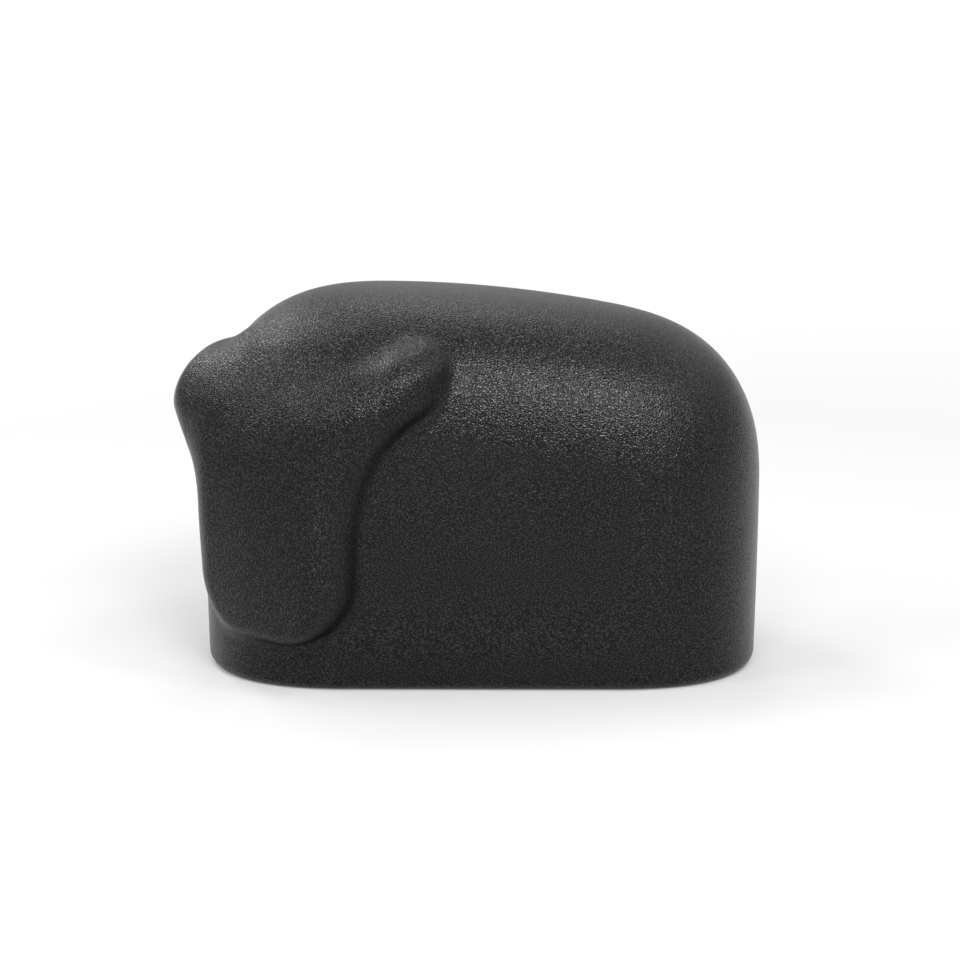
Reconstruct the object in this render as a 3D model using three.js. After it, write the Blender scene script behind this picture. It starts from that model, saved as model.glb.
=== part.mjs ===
// A palm-sized ox figurine, cast in one solid piece: a rounded block of a body
// with the head turned to one side and raised in low relief on the shoulder.
// Millimetres. +X points to the tail, -Y to the side that the head is turned to,
// +Z up. The origin is in the middle of the body's footprint, on the flat underside.
import * as THREE from "three";

// Body: an oblong with rounded ends under an arched back, highest at the hump
const BODY_HALF_LENGTH = 40;
const BODY_HALF_WIDTH = 22;
const PLAN_POWER = 2.429;
const BACK_HEIGHT = 54.03;
const HUMP_X = -14.5;
const REAR_CURVE = 0.00289;
const FRONT_CURVE = 0.00931;
const CROWN_CURVE = 0.00431;
const SHOULDER_RADIUS = 20.11;
const SHOULDER_POWER = 2.728;
const FOOT_HEIGHT = 26;
const FOOT_SPREAD = 0.309;
const FOOT_POWER = 1.89;
const BASE_EDGE_RADIUS = 1.6;

// Head: its outline is drawn on the plane across the direction that it faces in
const HEAD_TURN = 60.18;
const HEAD_X = -19;
const MUZZLE_BOTTOM = 6.8;
const MUZZLE_HALF_WIDTH_LOW = 12.78;
const MUZZLE_HALF_WIDTH_HIGH = 13.49;
const MUZZLE_TAPER_START = 8;
const MUZZLE_TAPER_HEIGHT = 30;
const MUZZLE_TAPER_LOW = -0.3;
const MUZZLE_TAPER_HIGH = 1.6;
const MUZZLE_CORNER_RADIUS = 9;
const NEAR_HORN_ROOT = { across: 7.85, z: 39.57 };
const NEAR_HORN_TIP = { across: 17.46, z: 44.95 };
const FAR_HORN_ROOT = { across: 9.93, z: 42.08 };
const FAR_HORN_TIP = { across: 14, z: 42.25 };
const HORN_ROOT_RADIUS = 4;
const HORN_TIP_RADIUS = 5.47;
const HORN_FLARE = 14.55;
const HORN_FLARE_ABOVE = 4.71;
const HORN_FLARE_Z = 44.01;
const HORN_FLARE_BLEND = 8;
const POLL_TOP = 51.76;
const POLL_ROUNDING = 5.26;

// How far the head stands out of the body
const RELIEF = 1.842;
const RELIEF_ACROSS = 1.292;
const RELIEF_ACROSS_2 = 6.359;
const RELIEF_ACROSS_3 = -1.282;
const RELIEF_UP = -1.827;
const RELIEF_UP_2 = -1.244;
const RELIEF_ACROSS_UP = -2.402;
const RELIEF_SPAN = 20;
const RELIEF_MIDDLE_Z = 30;
const FADE_Z = 46.56;
const FADE_RISE = -0.222;
const FADE_ROUNDING = 4;
const FADE_WIDTH = 11.98;
const FADE_SINK = -0.5;
const HORN_LIFT_ROOT = 0.47;
const HORN_LIFT_TIP = 0.48;
const HORN_DOME = 0.0576;
const HORN_BLEND = 2.31;
const RIM_RADIUS = 4.98;
const RIM_RADIUS_LOW = 2.37;
const RIM_BLEND = 17.75;
const CREASE_RADIUS = 1.49;
const HEAD_BACK = 6;
const HEAD_BACK_ROUNDING = 6;

// Facets
const CELL = 2;
const BASE_LEVELS = [-3, -0.6, 0.6, 1.8, 3.4];
const GRID_MIN = { x: -49, y: -33 };
const GRID_MAX = { x: 44, y: 25, z: 57 };
const SETTLE_STEPS = 6;
const SMOOTHING_ROUNDS = 3;
const SMOOTHING = 0.5;
const SLOPE_STEP = 0.05;
const LEAST_SLOPE = 0.5;
const FLAT_TOLERANCE = 1e-6;

const smoothstep = (t) => {
  const c = THREE.MathUtils.clamp(t, 0, 1);
  return c * c * (3 - 2 * c);
};

// The union of two forms, with a fillet in the crease between them
function filletUnion(a, b, width) {
  const h = Math.max(width - Math.abs(a - b), 0) / width;
  return Math.min(a, b) - (h * h * width) / 4;
}

// What two forms have in common, with their shared edge rounded over
function roundedEdge(a, b, radius, power = 2) {
  const u = Math.max(a + radius, 0);
  const v = Math.max(b + radius, 0);
  const over = (u ** power + v ** power) ** (1 / power);
  return Math.min(Math.max(a, b) + radius, 0) + over - radius;
}

// Each form below is a distance in millimetres: negative inside, positive outside.
function bodyForm(x, y, z) {
  const u = Math.abs(x) - (BODY_HALF_LENGTH - BODY_HALF_WIDTH);
  const v = Math.abs(y);
  const round = (Math.max(u, 0) ** PLAN_POWER + v ** PLAN_POWER) ** (1 / PLAN_POWER);
  const foot = FOOT_SPREAD * (Math.max(FOOT_HEIGHT - z, 0) / FOOT_HEIGHT) ** FOOT_POWER;
  const plan = round - BODY_HALF_WIDTH + foot;
  const along = x - HUMP_X;
  const curve = along > 0 ? REAR_CURVE : FRONT_CURVE;
  const back = BACK_HEIGHT - curve * along * along - CROWN_CURVE * y * y;
  return roundedEdge(plan, z - back, SHOULDER_RADIUS, SHOULDER_POWER);
}

// A horn in the plane of the outline: a finger that runs from root to tip. It gives
// the share of the way to the tip, the distance from the axis and from the outline.
function hornFinger(across, z, root, tip) {
  const da = tip.across - root.across;
  const dz = tip.z - root.z;
  const along = ((across - root.across) * da + (z - root.z) * dz) / (da * da + dz * dz);
  const share = THREE.MathUtils.clamp(along, 0, 1);
  const reach = Math.hypot(across - root.across - share * da, z - root.z - share * dz);
  const radius = THREE.MathUtils.lerp(HORN_ROOT_RADIUS, HORN_TIP_RADIUS, share);
  return { share, reach, outline: reach - radius };
}

function muzzleSide(across, z) {
  const rise = (z - MUZZLE_TAPER_START) / MUZZLE_TAPER_HEIGHT;
  const taper = THREE.MathUtils.clamp(rise, MUZZLE_TAPER_LOW, MUZZLE_TAPER_HIGH);
  const half = THREE.MathUtils.lerp(MUZZLE_HALF_WIDTH_LOW, MUZZLE_HALF_WIDTH_HIGH, taper);
  return Math.abs(across) - half;
}

function muzzleOutline(side, z) {
  const sides = roundedEdge(side, MUZZLE_BOTTOM - z, MUZZLE_CORNER_RADIUS);
  return roundedEdge(sides, z - POLL_TOP, POLL_ROUNDING);
}

// The height of the relief above the body. It runs out into the poll at the top,
// and the horns are domes that stand out of it.
function reliefHeight(across, z, horn) {
  const u = across / RELIEF_SPAN;
  const w = (z - RELIEF_MIDDLE_Z) / RELIEF_SPAN;
  const across3 = RELIEF_ACROSS * u + RELIEF_ACROSS_2 * u ** 2 + RELIEF_ACROSS_3 * u ** 3;
  const up2 = RELIEF_UP * w + RELIEF_UP_2 * w ** 2 + RELIEF_ACROSS_UP * u * w;
  const face = RELIEF + across3 + up2;
  const fadeZ = FADE_Z + FADE_RISE * (Math.hypot(across, FADE_ROUNDING) - FADE_ROUNDING);
  const fade = smoothstep((z - fadeZ) / FADE_WIDTH + 0.5);
  const lift = THREE.MathUtils.lerp(HORN_LIFT_ROOT, HORN_LIFT_TIP, horn.share);
  const dome = face + lift - HORN_DOME * horn.reach ** 2;
  return -filletUnion((face + FADE_SINK) * fade - face, -dome, HORN_BLEND);
}

function headForm(body, across, z) {
  const horn =
    across > 0
      ? hornFinger(across, z, NEAR_HORN_ROOT, NEAR_HORN_TIP)
      : hornFinger(-across, z, FAR_HORN_ROOT, FAR_HORN_TIP);
  const side = muzzleSide(across, z);
  const above = smoothstep((z - HORN_FLARE_Z) / HORN_FLARE_BLEND + 0.5);
  const flare = THREE.MathUtils.lerp(HORN_FLARE, HORN_FLARE_ABOVE, above);
  const outline = filletUnion(muzzleOutline(side, z), horn.outline, flare);
  const grow = smoothstep((side - MUZZLE_BOTTOM + z) / RIM_BLEND + 0.5);
  const rim = THREE.MathUtils.lerp(RIM_RADIUS_LOW, RIM_RADIUS, grow);
  return roundedEdge(outline, body - reliefHeight(across, z, horn), rim);
}

function oxForm(x, y, z) {
  const turn = THREE.MathUtils.degToRad(HEAD_TURN);
  const forward = -((x - HEAD_X) * Math.cos(turn) + y * Math.sin(turn));
  const across = (x - HEAD_X) * Math.sin(turn) - y * Math.cos(turn);
  const body = bodyForm(x, y, z);
  const head = roundedEdge(headForm(body, across, z), HEAD_BACK - forward, HEAD_BACK_ROUNDING);
  return roundedEdge(filletUnion(body, head, CREASE_RADIUS), -z, BASE_EDGE_RADIUS);
}

function slopeAt(p) {
  const d = SLOPE_STEP;
  return new THREE.Vector3(
    oxForm(p.x + d, p.y, p.z) - oxForm(p.x - d, p.y, p.z),
    oxForm(p.x, p.y + d, p.z) - oxForm(p.x, p.y - d, p.z),
    oxForm(p.x, p.y, p.z + d) - oxForm(p.x, p.y, p.z - d),
  ).divideScalar(2 * d);
}

// Moves a point onto the surface of the form
function settle(p) {
  for (let i = 0; i < SETTLE_STEPS; i++) {
    const slope = slopeAt(p);
    p.addScaledVector(slope, -oxForm(p.x, p.y, p.z) / Math.max(slope.lengthSq(), LEAST_SLOPE ** 2));
  }
  if (Math.abs(p.z) < FLAT_TOLERANCE) p.z = 0;
}

// A closed mesh of four-sided faces around every grid edge that crosses the surface
function surfaceNet() {
  const levels = (first, to) => {
    const list = [...first];
    while (list.at(-1) < to) list.push(list.at(-1) + CELL);
    return list;
  };
  const xs = levels([GRID_MIN.x], GRID_MAX.x);
  const ys = levels([GRID_MIN.y], GRID_MAX.y);
  const zs = levels(BASE_LEVELS, GRID_MAX.z);
  const n = [xs.length, ys.length, zs.length];
  const at = (i, j, k) => (i * n[1] + j) * n[2] + k;
  const place = (i, j, k) => new THREE.Vector3(xs[i], ys[j], zs[k]);
  const value = new Float64Array(n[0] * n[1] * n[2]);
  for (let i = 0; i < n[0]; i++)
    for (let j = 0; j < n[1]; j++)
      for (let k = 0; k < n[2]; k++) {
        const p = place(i, j, k);
        value[at(i, j, k)] = oxForm(p.x, p.y, p.z);
      }

  const points = [];
  const pointOf = new Map();
  const steps = [[1, 0, 0], [0, 1, 0], [0, 0, 1]];
  const corners = [0, 1].flatMap((a) => [0, 1].flatMap((b) => [0, 1].map((c) => [a, b, c])));
  for (let i = 0; i < n[0] - 1; i++)
    for (let j = 0; j < n[1] - 1; j++)
      for (let k = 0; k < n[2] - 1; k++) {
        const sum = new THREE.Vector3();
        let crossings = 0;
        for (const [a, b, c] of corners)
          for (const [di, dj, dk] of steps) {
            if (a + di > 1 || b + dj > 1 || c + dk > 1) continue;
            const from = value[at(i + a, j + b, k + c)];
            const to = value[at(i + a + di, j + b + dj, k + c + dk)];
            if (from < 0 === to < 0) continue;
            const start = place(i + a, j + b, k + c);
            const end = place(i + a + di, j + b + dj, k + c + dk);
            sum.add(start.lerp(end, from / (from - to)));
            crossings++;
          }
        if (!crossings) continue;
        pointOf.set(at(i, j, k), points.length);
        points.push(sum.divideScalar(crossings));
      }

  const quads = [];
  for (let i = 1; i < n[0] - 1; i++)
    for (let j = 1; j < n[1] - 1; j++)
      for (let k = 1; k < n[2] - 1; k++)
        steps.forEach(([di, dj, dk], axis) => {
          const from = value[at(i, j, k)];
          const to = value[at(i + di, j + dj, k + dk)];
          if (from < 0 === to < 0) return;
          const [u, v] = [steps[(axis + 1) % 3], steps[(axis + 2) % 3]];
          const around = [[0, 0], [1, 0], [1, 1], [0, 1]].map(([a, b]) =>
            pointOf.get(at(i - a * u[0] - b * v[0], j - a * u[1] - b * v[1], k - a * u[2] - b * v[2])),
          );
          quads.push(from < 0 ? around : around.reverse());
        });
  return { points, quads };
}

// Evens out the points over the surface, without leaving it
function smooth({ points, quads }) {
  points.forEach(settle);
  for (let round = 0; round < SMOOTHING_ROUNDS; round++) {
    const sums = points.map(() => new THREE.Vector3());
    const counts = points.map(() => 0);
    for (const quad of quads)
      quad.forEach((a, i) => {
        const b = quad[(i + 1) % 4];
        sums[a].add(points[b]);
        sums[b].add(points[a]);
        counts[a]++;
        counts[b]++;
      });
    points.forEach((p, i) => {
      p.lerp(sums[i].divideScalar(counts[i]), SMOOTHING);
      settle(p);
    });
  }
}

// Triangles of the sides and top, and one flat polygon for the underside
function oxGeometry() {
  const net = surfaceNet();
  smooth(net);
  const { points, quads } = net;
  const triangles = [];
  for (const [a, b, c, d] of quads) {
    if ([a, b, c, d].every((i) => points[i].z === 0)) continue;
    const short = points[a].distanceTo(points[c]) < points[b].distanceTo(points[d]);
    const halves = short ? [[a, b, c], [a, c, d]] : [[a, b, d], [b, c, d]];
    triangles.push(...halves);
  }

  const edges = triangles.flatMap(([a, b, c]) => [[a, b], [b, c], [c, a]]);
  const known = new Set(edges.map(([a, b]) => a * points.length + b));
  const open = edges.filter(([a, b]) => !known.has(b * points.length + a));
  const next = new Map(open.map(([a, b]) => [b, a]));
  const rim = [open[0][0]];
  while (next.get(rim.at(-1)) !== rim[0]) rim.push(next.get(rim.at(-1)));
  const contour = rim.map((i) => new THREE.Vector2(points[i].x, points[i].y));
  for (const [a, b, c] of THREE.ShapeUtils.triangulateShape(contour, []))
    triangles.push([rim[a], rim[c], rim[b]]);

  const used = [...new Set(triangles.flat())];
  const indexOf = new Map(used.map((point, index) => [point, index]));
  const places = used.flatMap((point) => points[point].toArray());
  const geometry = new THREE.BufferGeometry();
  geometry.setAttribute("position", new THREE.Float32BufferAttribute(places, 3));
  geometry.setIndex(triangles.flat().map((point) => indexOf.get(point)));
  geometry.computeVertexNormals();
  return geometry;
}

const ox = new THREE.Mesh(
  oxGeometry(),
  new THREE.MeshStandardMaterial({ color: 0x1b1b1c, roughness: 0.6, metalness: 0.3 }),
);
ox.name = "ox";

const figurine = new THREE.Group();
figurine.add(ox);

export default figurine;
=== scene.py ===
import math

import bpy
import numpy as np
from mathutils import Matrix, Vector


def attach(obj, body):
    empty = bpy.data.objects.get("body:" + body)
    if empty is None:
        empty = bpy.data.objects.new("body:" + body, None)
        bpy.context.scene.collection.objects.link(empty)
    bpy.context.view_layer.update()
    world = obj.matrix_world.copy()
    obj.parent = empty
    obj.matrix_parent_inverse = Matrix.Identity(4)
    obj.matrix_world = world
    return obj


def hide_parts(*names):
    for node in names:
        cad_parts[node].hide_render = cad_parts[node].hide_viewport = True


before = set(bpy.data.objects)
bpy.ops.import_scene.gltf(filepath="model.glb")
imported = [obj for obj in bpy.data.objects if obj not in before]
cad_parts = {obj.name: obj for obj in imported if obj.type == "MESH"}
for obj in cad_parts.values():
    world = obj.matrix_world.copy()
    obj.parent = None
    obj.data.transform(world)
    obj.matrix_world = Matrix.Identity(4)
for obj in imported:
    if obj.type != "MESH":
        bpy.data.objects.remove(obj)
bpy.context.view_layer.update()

# Every length of the form is in millimetres, as in the part's own source.
MM = 0.001

# Body: an oblong with rounded ends under an arched back, highest at the hump
BODY_HALF_LENGTH = 40
BODY_HALF_WIDTH = 22
PLAN_POWER = 2.429
BACK_HEIGHT = 54.03
HUMP_X = -14.5
REAR_CURVE = 0.00289
FRONT_CURVE = 0.00931
CROWN_CURVE = 0.00431
SHOULDER_RADIUS = 20.11
SHOULDER_POWER = 2.728
FOOT_HEIGHT = 26
FOOT_SPREAD = 0.309
FOOT_POWER = 1.89
BASE_EDGE_RADIUS = 1.6

# Head: its outline is drawn on the plane across the direction that it faces in.
# Each horn's root and tip are (across, height).
HEAD_TURN = 60.18
HEAD_X = -19
MUZZLE_BOTTOM = 6.8
MUZZLE_HALF_WIDTH_LOW = 12.78
MUZZLE_HALF_WIDTH_HIGH = 13.49
MUZZLE_TAPER_START = 8
MUZZLE_TAPER_HEIGHT = 30
MUZZLE_TAPER_LOW = -0.3
MUZZLE_TAPER_HIGH = 1.6
MUZZLE_CORNER_RADIUS = 9
NEAR_HORN_ROOT = (7.85, 39.57)
NEAR_HORN_TIP = (17.46, 44.95)
FAR_HORN_ROOT = (9.93, 42.08)
FAR_HORN_TIP = (14, 42.25)
HORN_ROOT_RADIUS = 4
HORN_TIP_RADIUS = 5.47
HORN_FLARE = 14.55
HORN_FLARE_ABOVE = 4.71
HORN_FLARE_Z = 44.01
HORN_FLARE_BLEND = 8
POLL_TOP = 51.76
POLL_ROUNDING = 5.26

# How far the head stands out of the body
RELIEF = 1.842
RELIEF_ACROSS = 1.292
RELIEF_ACROSS_2 = 6.359
RELIEF_ACROSS_3 = -1.282
RELIEF_UP = -1.827
RELIEF_UP_2 = -1.244
RELIEF_ACROSS_UP = -2.402
RELIEF_SPAN = 20
RELIEF_MIDDLE_Z = 30
FADE_Z = 46.56
FADE_RISE = -0.222
FADE_ROUNDING = 4
FADE_WIDTH = 11.98
FADE_SINK = -0.5
HORN_LIFT_ROOT = 0.47
HORN_LIFT_TIP = 0.48
HORN_DOME = 0.0576
HORN_BLEND = 2.31
RIM_RADIUS = 4.98
RIM_RADIUS_LOW = 2.37
RIM_BLEND = 17.75
CREASE_RADIUS = 1.49
HEAD_BACK = 6
HEAD_BACK_ROUNDING = 6

# The fine mesh
CELL = 0.5
GRID_LOW = (-49, -33, -1.25)
GRID_HIGH = (44, 25, 57)
SETTLE_STEPS = 3
SMOOTHING_ROUNDS = 2
SMOOTHING = 0.5
SLOPE_STEP = 0.05
LEAST_SLOPE = 0.5

# Black lacquer over cast iron. The grain is fine and even, the swell is a broad unevenness
# and the cloud shades the colour. Scales are per metre and depths in metres.
GRAIN_SCALE = 4600
GRAIN_DEPTH = 0.0001
SWELL_SCALE = 220
SWELL_DETAIL = 2
SWELL_DEPTH = 0.0002
SWELL_STRENGTH = 0.35
CLOUD_SCALE = 60
CLOUD_DETAIL = 4
LACQUER_DARK = (0.0024, 0.0024, 0.0026, 1)
LACQUER_PALE = (0.0036, 0.0036, 0.0038, 1)
NOISE_RANGE = (0.3, 0.7)
ROUGHNESS_RANGE = (0.275, 0.285)
GLINT_NOISE_RANGE = (0.42, 0.75)
GLINT_SPECULAR_RANGE = (0.14, 0.5)

# The floor is matt. Its own glow is painted light: it grows with the distance from the figurine,
# between two radii, so that the floor stays white out of the reach of the lamps. Metres.
FLOOR_HALF_WIDTH = 8
FLOOR_Z = -0.00005
FLOOR_COLOUR = (0.47, 0.47, 0.47, 1)
FLOOR_ROUGHNESS = 0.9
# Painted light: the faint near glow lifts the shade and the contact shadow around the figurine.
FLOOR_GLOW_NEAR = (0.12, 0.12, 0.12, 1)
FLOOR_GLOW_FAR = (0.9, 0.9, 0.9, 1)
FLOOR_GLOW_INNER_RADIUS = 0.198
FLOOR_GLOW_OUTER_RADIUS = 0.9

# The photograph's view of it, in millimetres and degrees, and the clip range in metres
CAMERA_DISTANCE = 380
CAMERA_ELEVATION = 12.11
CAMERA_AZIMUTH = 0.37
PIXELS_PER_MM = 6.886
CAMERA_AIM_ACROSS = -0.261
CAMERA_AIM_HEIGHT = 25.46
CAMERA_CLIP = (0.01, 20)
IMAGE_PIXELS = 960
SENSOR_MM = 36

# Soft round lamps around the figurine, in groups: the elevation of a group, the azimuths
# of its lamps and the power of each. Degrees and watts. Azimuth 0 is the viewer's side,
# and 90 is the viewer's right.
KEY_LAMP = (36, (12,), 2.9)
FRONT_FILL = (36, (-12, 30), 1.2)
LEFT_FILL = (36, (-60, -90, -140), 0.95)
RIGHT_FILL = (36, (60, 90), 0.45)
BACK_FILL = (36, (140, 180), 0.2)
TOP_FILL = (62, (-120, 60, 180), 0.75)
LAMP_GROUPS = (KEY_LAMP, FRONT_FILL, LEFT_FILL, RIGHT_FILL, BACK_FILL, TOP_FILL)

# Lamps stand round the middle of the figurine. Metres.
LAMP_REACH = 0.7
LAMP_WIDTH = 0.2
LAMP_AIM_HEIGHT = 0.03
WORLD_STRENGTH = 0.55


def smoothstep(t):
    c = np.clip(t, 0, 1)
    return c * c * (3 - 2 * c)


def mix(a, b, t):
    return a + (b - a) * t


def fillet_union(a, b, width):
    """The union of two forms, with a fillet in the crease between them."""
    h = np.maximum(width - np.abs(a - b), 0) / width
    return np.minimum(a, b) - h * h * width / 4


def rounded_edge(a, b, radius, power=2):
    """What two forms have in common, with their shared edge rounded over."""
    u = np.maximum(a + radius, 0)
    v = np.maximum(b + radius, 0)
    over = (u**power + v**power) ** (1 / power)
    return np.minimum(np.maximum(a, b) + radius, 0) + over - radius


# Each form below is a distance in millimetres: negative inside, positive outside.
def body_form(x, y, z):
    u = np.maximum(np.abs(x) - (BODY_HALF_LENGTH - BODY_HALF_WIDTH), 0)
    ends = (u**PLAN_POWER + np.abs(y) ** PLAN_POWER) ** (1 / PLAN_POWER)
    foot = FOOT_SPREAD * (np.maximum(FOOT_HEIGHT - z, 0) / FOOT_HEIGHT) ** FOOT_POWER
    plan = ends - BODY_HALF_WIDTH + foot
    along = x - HUMP_X
    curve = np.where(along > 0, REAR_CURVE, FRONT_CURVE)
    back = BACK_HEIGHT - curve * along**2 - CROWN_CURVE * y**2
    return rounded_edge(plan, z - back, SHOULDER_RADIUS, SHOULDER_POWER)


def horn_finger(across, z, root, tip):
    """A horn in the plane of the outline: a finger that runs from root to tip. Gives the
    share of the way to the tip, the distance from the axis and from the outline."""
    da, dz = tip[0] - root[0], tip[1] - root[1]
    along = ((across - root[0]) * da + (z - root[1]) * dz) / (da**2 + dz**2)
    share = np.clip(along, 0, 1)
    reach = np.hypot(across - root[0] - share * da, z - root[1] - share * dz)
    return share, reach, reach - mix(HORN_ROOT_RADIUS, HORN_TIP_RADIUS, share)


def muzzle_side(across, z):
    rise = (z - MUZZLE_TAPER_START) / MUZZLE_TAPER_HEIGHT
    taper = np.clip(rise, MUZZLE_TAPER_LOW, MUZZLE_TAPER_HIGH)
    return np.abs(across) - mix(MUZZLE_HALF_WIDTH_LOW, MUZZLE_HALF_WIDTH_HIGH, taper)


def muzzle_outline(side, z):
    sides = rounded_edge(side, MUZZLE_BOTTOM - z, MUZZLE_CORNER_RADIUS)
    return rounded_edge(sides, z - POLL_TOP, POLL_ROUNDING)


def relief_height(across, z, share, reach):
    """The height of the head above the body. It runs out into the poll at the top, and
    the horns are domes that stand out of it."""
    u = across / RELIEF_SPAN
    w = (z - RELIEF_MIDDLE_Z) / RELIEF_SPAN
    face = RELIEF + RELIEF_ACROSS * u + RELIEF_ACROSS_2 * u**2 + RELIEF_ACROSS_3 * u**3
    face = face + RELIEF_UP * w + RELIEF_UP_2 * w**2 + RELIEF_ACROSS_UP * u * w
    fade_z = FADE_Z + FADE_RISE * (np.hypot(across, FADE_ROUNDING) - FADE_ROUNDING)
    fade = smoothstep((z - fade_z) / FADE_WIDTH + 0.5)
    dome = face + mix(HORN_LIFT_ROOT, HORN_LIFT_TIP, share) - HORN_DOME * reach**2
    return -fillet_union((face + FADE_SINK) * fade - face, -dome, HORN_BLEND)


def head_form(body, across, z):
    near = horn_finger(across, z, NEAR_HORN_ROOT, NEAR_HORN_TIP)
    far = horn_finger(-across, z, FAR_HORN_ROOT, FAR_HORN_TIP)
    share, reach, horn = (np.where(across > 0, a, b) for a, b in zip(near, far))
    side = muzzle_side(across, z)
    above = smoothstep((z - HORN_FLARE_Z) / HORN_FLARE_BLEND + 0.5)
    flare = mix(HORN_FLARE, HORN_FLARE_ABOVE, above)
    outline = fillet_union(muzzle_outline(side, z), horn, flare)
    grow = smoothstep((side - MUZZLE_BOTTOM + z) / RIM_BLEND + 0.5)
    rim = mix(RIM_RADIUS_LOW, RIM_RADIUS, grow)
    return rounded_edge(outline, body - relief_height(across, z, share, reach), rim)


def ox_form(p):
    x, y, z = p[..., 0], p[..., 1], p[..., 2]
    turn = math.radians(HEAD_TURN)
    forward = -((x - HEAD_X) * math.cos(turn) + y * math.sin(turn))
    across = (x - HEAD_X) * math.sin(turn) - y * math.cos(turn)
    body = body_form(x, y, z)
    head = rounded_edge(head_form(body, across, z), HEAD_BACK - forward, HEAD_BACK_ROUNDING)
    return rounded_edge(fillet_union(body, head, CREASE_RADIUS), -z, BASE_EDGE_RADIUS)


def settle(points):
    """Moves points onto the surface of the form."""
    steps = np.eye(3) * SLOPE_STEP
    for _ in range(SETTLE_STEPS):
        slope = np.stack([ox_form(points + d) - ox_form(points - d) for d in steps], -1)
        slope /= 2 * SLOPE_STEP
        steep = np.maximum((slope**2).sum(-1), LEAST_SLOPE**2)
        points = points - slope * (ox_form(points) / steep)[:, None]
    return points


def surface_net():
    """A closed mesh of four-sided faces around every grid edge that crosses the surface."""
    axes = [np.arange(lo, hi + CELL, CELL) for lo, hi in zip(GRID_LOW, GRID_HIGH)]
    value = ox_form(np.stack(np.meshgrid(*axes, indexing="ij"), -1))
    inside = value < 0
    cells = tuple(n - 1 for n in value.shape)
    total = np.zeros(cells + (3,))
    count = np.zeros(cells)
    crossings = []
    for axis in range(3):
        low = [slice(None)] * 3
        high = [slice(None)] * 3
        low[axis], high[axis] = slice(None, -1), slice(1, None)
        a, b = value[tuple(low)], value[tuple(high)]
        i, j, k = np.nonzero(inside[tuple(low)] != inside[tuple(high)])
        share = a[i, j, k] / (a[i, j, k] - b[i, j, k])
        place = np.stack([axes[0][i], axes[1][j], axes[2][k]], -1)
        place[:, axis] += share * CELL
        crossings.append((i, j, k, inside[tuple(low)][i, j, k]))
        side = [(0,) if n == axis else (0, 1) for n in range(3)]
        for di in side[0]:
            for dj in side[1]:
                for dk in side[2]:
                    np.add.at(total, (i - di, j - dj, k - dk), place)
                    np.add.at(count, (i - di, j - dj, k - dk), 1)
    used = count > 0
    number = np.full(cells, -1)
    number[used] = np.arange(used.sum())
    points = total[used] / count[used][:, None]

    quads = []
    for axis, (i, j, k, outward) in enumerate(crossings):
        u = np.eye(3, dtype=int)[(axis + 1) % 3]
        v = np.eye(3, dtype=int)[(axis + 2) % 3]
        ring = [number[i - d[0], j - d[1], k - d[2]] for d in (0 * u, u, u + v, v)]
        quad = np.stack(ring, -1)
        quads.append(np.where(outward[:, None], quad, quad[:, ::-1]))
    return points, np.concatenate(quads)


def smooth(points, quads):
    """Evens out the points over the surface, without leaving it."""
    points = settle(points)
    a = quads.ravel()
    b = np.roll(quads, -1, axis=1).ravel()
    ends, others = np.concatenate([a, b]), np.concatenate([b, a])
    count = np.bincount(ends, minlength=len(points))[:, None]
    for _ in range(SMOOTHING_ROUNDS):
        total = np.stack([np.bincount(ends, points[others, n], len(points)) for n in range(3)], -1)
        points = settle(mix(points, total / count, SMOOTHING))
    return points


def link(tree, source, output, target, socket):
    tree.links.new(source.outputs[output], target.inputs[socket])


def add_noise(tree, place, scale, detail=0):
    noise = tree.nodes.new("ShaderNodeTexNoise")
    noise.inputs["Scale"].default_value = scale
    noise.inputs["Detail"].default_value = detail
    link(tree, place, "Object", noise, "Vector")
    return noise


def add_range(tree, noise, noise_range, value_range):
    """Turns a range of the noise into a range of values of the surface."""
    ranged = tree.nodes.new("ShaderNodeMapRange")
    ranged.inputs["From Min"].default_value = noise_range[0]
    ranged.inputs["From Max"].default_value = noise_range[1]
    ranged.inputs["To Min"].default_value = value_range[0]
    ranged.inputs["To Max"].default_value = value_range[1]
    link(tree, noise, "Fac", ranged, "Value")
    return ranged


def add_ramp(tree, source, places, colours):
    """Blends from the first colour to the second between two places of the source."""
    ramp = tree.nodes.new("ShaderNodeValToRGB")
    for stop, place, colour in zip(ramp.color_ramp.elements, places, colours):
        stop.position = place
        stop.color = colour
    link(tree, source, "Fac", ramp, "Fac")
    return ramp


def add_bump(tree, height, depth, strength=1):
    bump = tree.nodes.new("ShaderNodeBump")
    bump.inputs["Strength"].default_value = strength
    bump.inputs["Distance"].default_value = depth
    link(tree, height, "Fac", bump, "Height")
    return bump


def lacquered_iron():
    """Satin black lacquer over a fine sand-cast grain."""
    material = bpy.data.materials.new("black_lacquered_iron")
    material.use_nodes = True
    tree = material.node_tree
    shader = tree.nodes["Principled BSDF"]
    place = tree.nodes.new("ShaderNodeTexCoord")
    grain = add_noise(tree, place, GRAIN_SCALE)
    swell = add_noise(tree, place, SWELL_SCALE, SWELL_DETAIL)
    cloud = add_noise(tree, place, CLOUD_SCALE, CLOUD_DETAIL)

    colour = add_ramp(tree, cloud, NOISE_RANGE, (LACQUER_DARK, LACQUER_PALE))
    link(tree, colour, "Color", shader, "Base Color")
    roughness = add_range(tree, grain, NOISE_RANGE, ROUGHNESS_RANGE)
    link(tree, roughness, "Result", shader, "Roughness")
    glint = add_range(tree, grain, GLINT_NOISE_RANGE, GLINT_SPECULAR_RANGE)
    link(tree, glint, "Result", shader, "Specular IOR Level")

    broad_bump = add_bump(tree, swell, SWELL_DEPTH, SWELL_STRENGTH)
    fine_bump = add_bump(tree, grain, GRAIN_DEPTH)
    link(tree, broad_bump, "Normal", fine_bump, "Normal")
    link(tree, fine_bump, "Normal", shader, "Normal")
    return material


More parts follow.
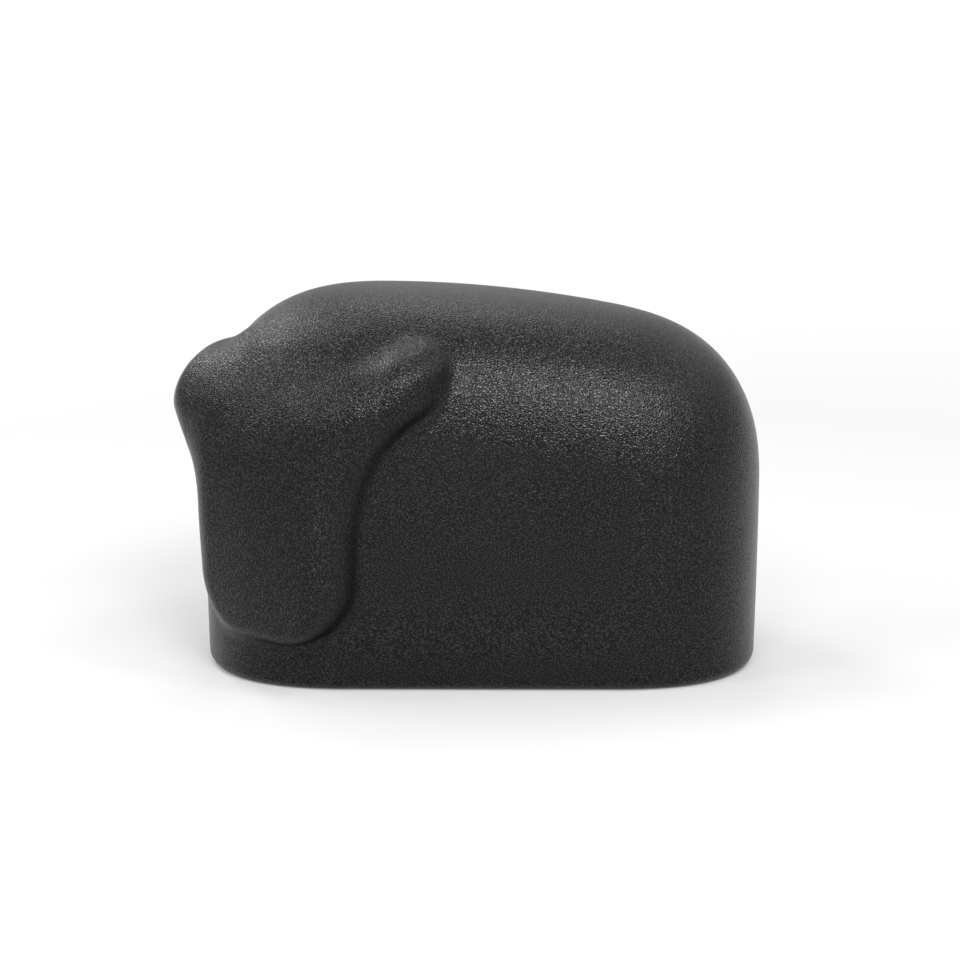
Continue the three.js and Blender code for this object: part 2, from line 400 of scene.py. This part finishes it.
def pale_floor():
    """Matt and pale, with a glow of painted light that grows from the inner to the outer radius.
    """
    material = bpy.data.materials.new("floor_white")
    material.use_nodes = True
    tree = material.node_tree
    shader = tree.nodes["Principled BSDF"]
    shader.inputs["Base Color"].default_value = FLOOR_COLOUR
    shader.inputs["Roughness"].default_value = FLOOR_ROUGHNESS
    shader.inputs["Specular IOR Level"].default_value = 0
    shader.inputs["Emission Strength"].default_value = 1

    place = tree.nodes.new("ShaderNodeTexCoord")
    scale = tree.nodes.new("ShaderNodeMapping")
    scale.inputs["Scale"].default_value = (1 / FLOOR_GLOW_OUTER_RADIUS,) * 3
    link(tree, place, "Object", scale, "Vector")
    nearness = tree.nodes.new("ShaderNodeTexGradient")
    nearness.gradient_type = "SPHERICAL"
    link(tree, scale, "Vector", nearness, "Vector")
    # The glow is painted light on the floor, faint near the figurine and white far out.
    inner = 1 - FLOOR_GLOW_INNER_RADIUS / FLOOR_GLOW_OUTER_RADIUS
    glow = add_ramp(tree, nearness, (0, inner), (FLOOR_GLOW_FAR, FLOOR_GLOW_NEAR))
    link(tree, glow, "Color", shader, "Emission Color")
    return material


def add_mesh(name, points, faces):
    mesh = bpy.data.meshes.new(name)
    mesh.from_pydata([tuple(p) for p in points], [], [tuple(int(i) for i in f) for f in faces])
    piece = bpy.data.objects.new(name, mesh)
    bpy.context.scene.collection.objects.link(piece)
    return piece


def add_ox():
    points, quads = surface_net()
    points = smooth(points, quads)
    ox = add_mesh("cast_ox", points * MM, quads)
    ox.data.polygons.foreach_set("use_smooth", [True] * len(ox.data.polygons))
    ox.data.materials.append(lacquered_iron())
    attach(ox, "root")
    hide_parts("ox")


def add_floor():
    corners = [(-1, -1), (1, -1), (1, 1), (-1, 1)]
    points = [(x * FLOOR_HALF_WIDTH, y * FLOOR_HALF_WIDTH, 0) for x, y in corners]
    floor = add_mesh("floor", points, [(0, 1, 2, 3)])
    floor.location.z = FLOOR_Z
    floor.data.materials.append(pale_floor())


def direction(elevation, azimuth):
    """A unit vector, with azimuth 0 on the viewer's side and 90 on the viewer's right."""
    elevation = math.radians(elevation)
    azimuth = math.radians(azimuth)
    return Vector((
        math.sin(azimuth) * math.cos(elevation),
        -math.cos(azimuth) * math.cos(elevation),
        math.sin(elevation),
    ))


def look_from(thing, out):
    """Turns a lamp or camera, which looks down its own -Z, to look back along out."""
    thing.rotation_mode = "QUATERNION"
    thing.rotation_quaternion = (-out).to_track_quat("-Z", "Y")


def add_lamp(elevation, azimuth, power):
    light = bpy.data.lights.new("lamp", "AREA")
    light.shape = "DISK"
    light.size = LAMP_WIDTH
    light.energy = power
    lamp = bpy.data.objects.new("lamp", light)
    bpy.context.scene.collection.objects.link(lamp)
    out = direction(elevation, azimuth)
    lamp.location = out * LAMP_REACH + Vector((0, 0, LAMP_AIM_HEIGHT))
    look_from(lamp, out)


def add_studio():
    world = bpy.data.worlds.new("studio")
    world.use_nodes = True
    background = world.node_tree.nodes["Background"]
    background.inputs["Color"].default_value = (1, 1, 1, 1)
    background.inputs["Strength"].default_value = WORLD_STRENGTH
    bpy.context.scene.world = world
    bpy.context.scene.view_settings.view_transform = "Standard"
    for elevation, azimuths, power in LAMP_GROUPS:
        for azimuth in azimuths:
            add_lamp(elevation, azimuth, power)


def add_camera():
    azimuth = math.radians(CAMERA_AZIMUTH)
    right = Vector((math.cos(azimuth), math.sin(azimuth), 0))
    aim = right * CAMERA_AIM_ACROSS + Vector((0, 0, CAMERA_AIM_HEIGHT))
    out = direction(CAMERA_ELEVATION, CAMERA_AZIMUTH)
    data = bpy.data.cameras.new("camera")
    data.sensor_width = SENSOR_MM
    data.lens = PIXELS_PER_MM * CAMERA_DISTANCE / IMAGE_PIXELS * SENSOR_MM
    data.clip_start, data.clip_end = CAMERA_CLIP
    camera = bpy.data.objects.new("camera", data)
    bpy.context.scene.collection.objects.link(camera)
    camera.location = (aim + out * CAMERA_DISTANCE) * MM
    look_from(camera, out)
    bpy.context.scene.camera = camera


add_ox()
add_floor()
add_studio()
add_camera()
